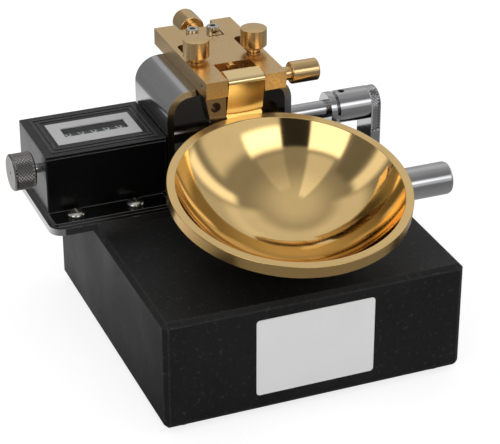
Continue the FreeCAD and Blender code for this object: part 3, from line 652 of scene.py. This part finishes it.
def make_round_pieces():
    """Turned pieces: the CAD shape eased, with rings and highlights about its own axis."""
    for node, place, axis, colour, roughness in (
        ("clamp_screw_left", centre("clamp_screw_left"), ALONG_Z, BRASS, 0.2),
        ("clamp_screw_right", centre("clamp_screw_right"), ALONG_Z, BRASS, 0.2),
        ("adjusting_knob", ADJUSTER, ALONG_Y, BRASS, 0.2),
        ("adjusting_screw", ADJUSTER, ALONG_Y, BRASS, 0.2),
        ("hinge_pin_knob", HINGE, ALONG_X, BRASS, 0.2),
        ("shaft_collar", SHAFT, ALONG_X, STEEL, 0.16),
        ("crank_hub", SHAFT, ALONG_X, STEEL, 0.16),
        ("handle_grip", GRIP, ALONG_X, STEEL, 0.14),
        ("handle_spindle", GRIP, ALONG_X, STEEL, 0.14),
    ):
        piece = eased(node, node + "_turned", 0.25 * MM, 2)
        finish = turned_finish(node + "_turned", colour, roughness, 0.6, place, axis, 0.002 * MM)
        dress(piece, node, finish)


def pan_head(name, place, seat, top, radius):
    """A domed head with a cross cut into it."""
    height = top - seat
    profile = [(0.0, 0.0), (0.0, radius * 0.94), (height * 0.3, radius)]
    for step in range(1, 9):
        angle = math.radians(10 * step)
        rise = height * (0.3 + 0.7 * math.sin(angle))
        profile.append((rise, radius * (0.28 + 0.72 * math.cos(angle))))
    profile.append((height, 0.0))
    head = turned(name, profile, Vector((place.x, place.y, seat)), ALONG_Z, steps=64, smooth=35)
    cutters = []
    for wide, deep, down in ((0.55, 0.1, 0.6), (0.1, 0.55, 0.56)):
        bpy.ops.mesh.primitive_cube_add(size=2.0)
        cutter = bpy.context.object
        cutter.scale = (radius * wide, radius * deep, height * down)
        cutter.location = (place.x, place.y, top)
        settle(cutter, name + "_cut")
        cutters.append(cutter)
    for cutter in cutters:
        apply_modifier(head, "BOOLEAN", operation="DIFFERENCE", object=cutter, solver="EXACT")
        bpy.data.objects.remove(cutter)
    return settle(head, name, 35)


def make_pan_screws(node, along):
    """Two pan-head screws side by side; their shanks are hidden in the work."""
    low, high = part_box(node)
    radius = (high.y - low.y) / 2 if along == "x" else (high.x - low.x) / 2
    first = Vector((low.x + radius, low.y + radius, 0))
    second = Vector((high.x - radius, high.y - radius, 0))
    head_height = 2.4 * MM
    seat = high.z - head_height
    heads = [
        pan_head(node + "_head", place, seat, high.z, radius) for place in (first, second)
    ]
    screws = joined(heads, node + "_heads")
    return dress(screws, node, FINISH["screw_steel"])


def knurl(piece, inside, depth):
    """A diamond knurl: every other corner of a grid is sunk, and so is each face's middle."""
    mesh = bmesh.from_edit_mesh(piece.data)
    raised = {}
    for start in mesh.verts:
        if start in raised or not inside(start.co):
            continue
        raised[start] = True
        open_ends = [start]
        while open_ends:
            vert = open_ends.pop()
            for edge in vert.link_edges:
                other = edge.other_vert(vert)
                if other not in raised and inside(other.co):
                    raised[other] = not raised[vert]
                    open_ends.append(other)
    grid = {vert.index for vert in raised}
    bpy.ops.mesh.select_mode(type="VERT")
    bpy.ops.mesh.select_all(action="DESELECT")
    for vert, high in raised.items():
        vert.select = not high
    bmesh.update_edit_mesh(piece.data)
    bpy.ops.transform.shrink_fatten(value=-depth)
    bpy.ops.mesh.select_mode(type="FACE")
    bpy.ops.mesh.select_all(action="DESELECT")
    mesh = bmesh.from_edit_mesh(piece.data)
    for face in mesh.faces:
        face.select = len(face.verts) == 4 and all(vert.index in grid for vert in face.verts)
    bmesh.update_edit_mesh(piece.data)
    bpy.ops.mesh.poke(offset=-depth / 2, use_relative_offset=False, center_mode="MEDIAN")


def make_reset_knob():
    """A knurled knob with a turned face and a small hole in its middle."""
    low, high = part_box("reset_knob")
    radius = (high.z - low.z) / 2
    length = high.x - low.x
    edge = 0.6 * MM
    hole_depth = 2.2 * MM
    hole_radius = 0.6 * MM
    bore_radius = 2.0 * MM
    rows = 12
    start = Vector((low.x, RESET.y, RESET.z))
    profile = [
        (hole_depth, 0.0), (hole_depth, hole_radius), (0.0, hole_radius), (0.0, radius - edge)
    ]
    for row in range(rows + 1):
        profile.append((edge + (length - 2 * edge) * row / rows, radius))
    profile += [(length, radius - edge), (length, bore_radius)]
    knob = turned("reset_knob_turned", profile, start, ALONG_X, steps=64, smooth=20)
    start_edit(knob)

    def around(co):
        inside = low.x + edge * 1.2 < co.x < high.x - edge * 1.2
        return inside and (co - start).yz.length > radius * 0.97

    knurl(knob, around, 0.4 * MM)
    end_edit()
    settle(knob, "reset_knob_turned", 20)
    return dress(knob, "reset_knob", FINISH["knob_grey"])


def make_crank_arm():
    """A flat arm with round ends; the rim of its upper end is knurled."""
    low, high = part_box("crank_arm")
    radius = (high.y - low.y) / 2
    turn_steps = 34
    corners = []
    for step in range(turn_steps + 1):
        angle = math.pi * step / turn_steps
        corners.append((SHAFT.y + radius * math.cos(angle), SHAFT.z + radius * math.sin(angle)))
    straight = SHAFT.z - GRIP.z
    pitch = math.pi * radius / turn_steps
    rungs = int(straight / pitch)
    for rung in range(1, rungs):
        corners.append((SHAFT.y - radius, SHAFT.z - straight * rung / rungs))
    for step in range(turn_steps + 1):
        angle = math.pi + math.pi * step / turn_steps
        corners.append((GRIP.y + radius * math.cos(angle), GRIP.z + radius * math.sin(angle)))
    for rung in range(1, rungs):
        corners.append((SHAFT.y + radius, GRIP.z + straight * rung / rungs))
    points = [Vector((low.x, y, z)) for y, z in corners]
    arm = drawn(points + points[:1])
    bpy.ops.mesh.remove_doubles(threshold=MM / 100)
    thick = high.x - low.x
    edge = 0.5 * MM
    columns = 6
    for column in range(columns):
        bpy.ops.mesh.extrude_region_move(
            TRANSFORM_OT_translate={"value": ALONG_X * ((thick - edge) / columns)}
        )
    bpy.ops.mesh.extrude_region_move(TRANSFORM_OT_translate={"value": ALONG_X * edge})
    end_edit()
    start_edit(arm)
    mesh = bmesh.from_edit_mesh(arm.data)
    for vert in mesh.verts:
        vert.select = vert.co.x > high.x - edge / 2
    mesh.select_flush(True)
    bmesh.update_edit_mesh(arm.data)
    middle = Vector((high.x, SHAFT.y, (SHAFT.z + GRIP.z) / 2))
    half = straight / 2 + radius
    bpy.ops.transform.resize(
        value=(1, (radius - edge) / radius, (half - edge) / half), center_override=middle
    )
    bpy.ops.mesh.select_all(action="DESELECT")
    bpy.ops.mesh.select_mode(type="EDGE")
    bpy.ops.mesh.select_non_manifold(
        extend=False, use_boundary=True, use_wire=False, use_multi_face=False
    )
    bpy.ops.mesh.edge_face_add()
    bpy.ops.mesh.select_all(action="SELECT")
    bpy.ops.mesh.normals_make_consistent(inside=False)
    knurl_length = 18.7 * MM
    lowest = SHAFT.z + radius - knurl_length

    def rim(co):
        return low.x + 0.3 * MM < co.x < high.x - edge * 1.2 and co.z > lowest

    knurl(arm, rim, 0.42 * MM)
    end_edit()
    settle(arm, "crank_arm_turned", 20)
    finish = plain_finish("arm_steel", STEEL, 0.13, 900.0, 0.001 * MM, 0.94, 1.0)
    return dress(arm, "crank_arm", finish)


def make_cover_trim():
    """Two low ribs round the top of the counter's cover, outside its face plate."""
    low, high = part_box("counter_cover")
    wide = 1.0 * MM
    rise = 0.3 * MM
    ribs = []
    for left, right, ends in ((3.6, 2.6, 3.0), (5.8, 4.6, 5.6)):
        first = Vector((low.x + left * MM, low.y + ends * MM, high.z - rise / 2))
        last = Vector((high.x - right * MM, high.y - ends * MM, high.z - rise / 2))
        bpy.ops.mesh.primitive_plane_add(size=1.0)
        rib = bpy.context.object
        rib.scale = (last.x - first.x, last.y - first.y, 1.0)
        rib.location = (first + last) / 2
        settle(rib, "cover_rib")
        start_edit(rib)
        bpy.ops.mesh.select_mode(type="FACE")
        bpy.ops.mesh.select_all(action="SELECT")
        bpy.ops.mesh.inset(thickness=wide)
        bpy.ops.mesh.delete(type="FACE")
        bpy.ops.mesh.select_all(action="SELECT")
        bpy.ops.mesh.extrude_region_move(TRANSFORM_OT_translate={"value": ALONG_Z * rise * 1.5})
        bpy.ops.mesh.select_all(action="SELECT")
        bpy.ops.mesh.normals_make_consistent(inside=False)
        end_edit()
        break_edges(rib, 0.12 * MM, 2)
        ribs.append(flatten(settle(rib, "cover_rib")))
    trim = joined(ribs, "cover_ribs")
    paint(trim, FINISH["counter_black"])
    return carry(trim, "counter_cover")


def make_figures():
    """Ten white figures round each number wheel, laid onto its rim."""
    figure_step = 36
    first_angle = 9
    figure_height = 7.4 * MM
    slice_height = 0.4 * MM
    for place in range(WHEELS):
        node = "number_wheel_%d" % (place + 1)
        low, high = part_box(node)
        middle = (low + high) / 2
        radius = (high.z - low.z) / 2
        figures = []
        for figure in range(10):
            angle = math.radians(figure_step * figure + first_angle)
            outward = Vector((0, math.sin(angle), math.cos(angle)))
            bpy.ops.object.text_add()
            text = bpy.context.object
            text.data.body = str(figure)
            text.data.align_x = "CENTER"
            text.data.align_y = "CENTER"
            text.data.size = figure_height
            text.data.offset = -0.012 * MM
            bpy.ops.object.convert(target="MESH")
            text.scale = (0.78, 1.0, 1.0)
            settle(text, "figure")
            start_edit(text)
            for step in range(-7, 8):
                bpy.ops.mesh.select_all(action="SELECT")
                bpy.ops.mesh.bisect(plane_co=(0, step * slice_height, 0), plane_no=(0, 1, 0))
            end_edit()
            text.rotation_euler = (-angle, 0, 0)
            text.location = middle + outward * (radius + 0.3 * MM)
            apply_modifier(
                text, "SHRINKWRAP", target=NODES[node], wrap_method="PROJECT",
                use_project_z=True, use_positive_direction=False, use_negative_direction=True,
                offset=0.03 * MM,
            )
            settle(text, "figure")
            figures.append(text)
        wheel = joined(figures, "figures_%d" % (place + 1))
        paint(wheel, FINISH["figure_white"])
        carry(wheel, node)


# Studio

def studio_floor():
    """A pale floor that keeps the shadow; metal sees it bright behind and dim in front."""
    bpy.ops.mesh.primitive_plane_add(size=8.0)
    floor = bpy.context.object
    floor.name = "studio_floor"
    finish = Finish("studio_floor")
    finish.put(Roughness=0.9, Specular_IOR_Level=0.0)
    path = finish.add("ShaderNodeLightPath")
    seen = finish.spread(path, "Is Camera Ray", 0.85, 0.35)
    mirrored = finish.spread(path, "Is Glossy Ray", 0.0, 0.55)
    tone = finish.maths("SUBTRACT", seen, "Result", mirrored, "Result")
    finish.join(tone, "Value", finish.shader, "Base Color")
    split = finish.add("ShaderNodeSeparateXYZ")
    finish.join(finish.place, "Object", split, 0)
    reach = finish.add("ShaderNodeVectorMath", operation="LENGTH")
    finish.join(finish.place, "Object", reach, 0)
    behind = finish.spread(split, "Y", 0.0, 0.7, -0.05, 0.1)
    leftward = finish.spread(split, "X", 1.0, 0.25, 0.0, 0.14)
    near = finish.spread(reach, "Value", 1.0, 0.0, 0.25, 0.32)
    glow = finish.maths("MULTIPLY", behind, "Result", leftward, "Result")
    close = finish.maths("MULTIPLY", glow, "Value", near, "Result")
    in_metal = finish.maths("MULTIPLY", close, "Value", path, "Is Glossy Ray")
    in_view = finish.spread(path, "Is Camera Ray", 0.0, 0.78)
    strength = finish.maths("ADD", in_metal, "Value", in_view, "Result")
    light = finish.add("ShaderNodeEmission")
    finish.join(strength, "Value", light, "Strength")
    total = finish.add("ShaderNodeAddShader")
    finish.join(finish.shader, "BSDF", total, 0)
    finish.join(light, "Emission", total, 1)
    finish.join(total, "Shader", finish.output, "Surface")
    paint(floor, finish.material)


class Sky:
    """The world's node tree: a light tent, given by bearing and height in degrees."""

    def __init__(self):
        world = bpy.data.worlds.new("studio")
        bpy.context.scene.world = world
        world.use_nodes = True
        self.tree = world.node_tree
        self.tree.nodes.clear()
        place = self.tree.nodes.new("ShaderNodeTexCoord")
        split = self.tree.nodes.new("ShaderNodeSeparateXYZ")
        self.tree.links.new(place.outputs["Generated"], split.inputs[0])
        towards_front = self.maths("MULTIPLY", split.outputs["Y"], -1.0)
        bearing = self.maths("ARCTAN2", split.outputs["X"], towards_front)
        self.bearing = self.maths("DEGREES", bearing)
        self.height = self.maths("DEGREES", self.maths("ARCSINE", split.outputs["Z"]))

    def maths(self, operation, first, second=None):
        node = self.tree.nodes.new("ShaderNodeMath")
        node.operation = operation
        for index, value in enumerate((first, second)):
            if value is None:
                continue
            if isinstance(value, (int, float)):
                node.inputs[index].default_value = value
            else:
                self.tree.links.new(value, node.inputs[index])
        return node.outputs[0]

    def step(self, value, start, end, low=0.0, high=1.0):
        """A smooth change from low to high as the value goes from start to end."""
        node = self.tree.nodes.new("ShaderNodeMapRange")
        node.interpolation_type = "SMOOTHSTEP"
        node.inputs["From Min"].default_value = start
        node.inputs["From Max"].default_value = end
        node.inputs["To Min"].default_value = low
        node.inputs["To Max"].default_value = high
        self.tree.links.new(value, node.inputs["Value"])
        return node.outputs["Result"]

    def patch(self, left, right, bottom, top, edge):
        """1 inside a patch of the sky and 0 outside, with a soft edge."""
        parts = [
            self.step(self.bearing, left - edge, left + edge),
            self.step(self.bearing, right - edge, right + edge, 1.0, 0.0),
            self.step(self.height, bottom - edge, bottom + edge),
            self.step(self.height, top - edge, top + edge, 1.0, 0.0),
        ]
        total = parts[0]
        for part in parts[1:]:
            total = self.maths("MULTIPLY", total, part)
        return total


def studio_world():
    """A light tent: two bright panels in front, a gap for the camera, and a pale back."""
    sky = Sky()
    light = sky.step(sky.height, 50.0, 84.0, 0.34, 0.75)
    for left, right, bottom, top, edge, strength in (
        (-70.0, -37.0, 42.0, 82.0, 3.0, 0.5),
        (-8.0, 26.0, 42.0, 74.0, 3.0, 0.16),
        (-74.0, -36.0, 12.0, 39.0, 2.5, 1.9),
        (-8.0, 30.0, 19.0, 38.0, 3.5, 1.9),
        (-8.0, 72.0, 2.0, 33.0, 5.0, 0.55),
        (82.0, 93.0, 2.0, 45.0, 4.0, 1.2),
        (-120.0, -106.0, 2.0, 46.0, 4.0, 0.9),
        (96.0, 200.0, 36.0, 60.0, 7.0, 0.5),
        (-200.0, -122.0, 36.0, 60.0, 7.0, 0.5),
        (96.0, 200.0, -20.0, 40.0, 8.0, 0.32),
    ):
        patch = sky.patch(left, right, bottom, top, edge)
        light = sky.maths("ADD", light, sky.maths("MULTIPLY", patch, strength))
    for left, right, bottom, top, edge, cut in (
        (-36.0, -8.0, 2.0, 37.5, 1.5, -0.9),
        (-102.0, -77.0, -5.0, 50.0, 4.0, -0.4),
    ):
        patch = sky.patch(left, right, bottom, top, edge)
        kept = sky.maths("ADD", sky.maths("MULTIPLY", patch, cut), 1.0)
        light = sky.maths("MULTIPLY", light, kept)
    path = sky.tree.nodes.new("ShaderNodeLightPath")
    plain = sky.maths("MAXIMUM", path.outputs["Is Camera Ray"], path.outputs["Is Diffuse Ray"])
    mixed = sky.tree.nodes.new("ShaderNodeMix")
    sky.tree.links.new(plain, mixed.inputs["Factor"])
    sky.tree.links.new(light, mixed.inputs[2])
    mixed.inputs[3].default_value = 1.0
    background = sky.tree.nodes.new("ShaderNodeBackground")
    output = sky.tree.nodes.new("ShaderNodeOutputWorld")
    sky.tree.links.new(mixed.outputs[0], background.inputs["Strength"])
    sky.tree.links.new(background.outputs[0], output.inputs["Surface"])


def studio_camera():
    lens = bpy.data.cameras.new("camera")
    sensor_width = 36.0
    focal_length = 137.04
    lens.sensor_width = sensor_width
    lens.lens = focal_length
    camera = bpy.data.objects.new("camera", lens)
    bpy.context.scene.collection.objects.link(camera)
    camera.location = (-0.2673, -0.6599, 0.4294)
    camera.rotation_euler = (math.radians(61.87), 0.0, math.radians(-21.95))
    bpy.context.scene.camera = camera


def main():
    studio_camera()
    studio_floor()
    studio_world()
    paint_carried_over()
    make_base()
    make_cup()
    make_eased_pieces()
    make_round_pieces()
    make_pan_screws("counter_screws", "x")
    make_pan_screws("frame_screws", "y")
    make_reset_knob()
    make_crank_arm()
    make_cover_trim()
    make_figures()
    bpy.context.scene.view_settings.view_transform = "Standard"


main()
